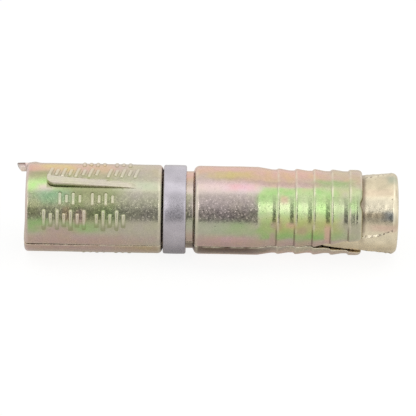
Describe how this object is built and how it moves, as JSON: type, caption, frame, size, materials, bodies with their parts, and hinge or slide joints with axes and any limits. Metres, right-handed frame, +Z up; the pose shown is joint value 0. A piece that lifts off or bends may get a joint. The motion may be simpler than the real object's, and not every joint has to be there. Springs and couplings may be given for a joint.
{
  "type": "expansion shield",
  "caption": "Steel expansion shield: stamped half shells with barbs and lanced fins, held by a plastic ring, spread by a threaded cone nut.",
  "frame": {"origin": "centre of the bounding box in X and Y, on the surface that the shield lies on", "axes": "+X along the axis from the screw end to the cone nut, +Z up, the front shell faces -Y"},
  "size_m": [0.0402, 0.0094, 0.0094],
  "materials": {
    "shell_zinc": "yellow iridescent zinc plate",
    "nut_zinc": "cast, pale yellow zinc plate",
    "ring_plastic": "satin grey moulded"
  },
  "bodies": {
    "ring": {"retaining_ring": "ring_plastic"},
    "front_half": {"front_shell": "shell_zinc"},
    "back_half": {"back_shell": "shell_zinc"},
    "nut": {"cone_nut": "nut_zinc"}
  },
  "joints": [
    {"name": "nut_draw", "type": "slide", "parent": "ring", "child": "nut", "axis": [-1, 0, 0], "range_m": [0, 0.002]},
    {"name": "front_spread", "type": "hinge", "parent": "ring", "child": "front_half", "pos_m": [-0.0141, 0, 0.00468], "axis": [0, -0.9006, -0.4346], "range_deg": [0, 1.02]},
    {"name": "back_spread", "type": "hinge", "parent": "ring", "child": "back_half", "pos_m": [-0.0141, 0, 0.00468], "axis": [0, 0.9006, 0.4346], "range_deg": [0, 1.02]}
  ],
  "couplings": [
    {"joint": "front_spread", "follows": "nut_draw", "rad_per_m": 8.9109},
    {"joint": "back_spread", "follows": "nut_draw", "rad_per_m": 8.9109}
  ]
}
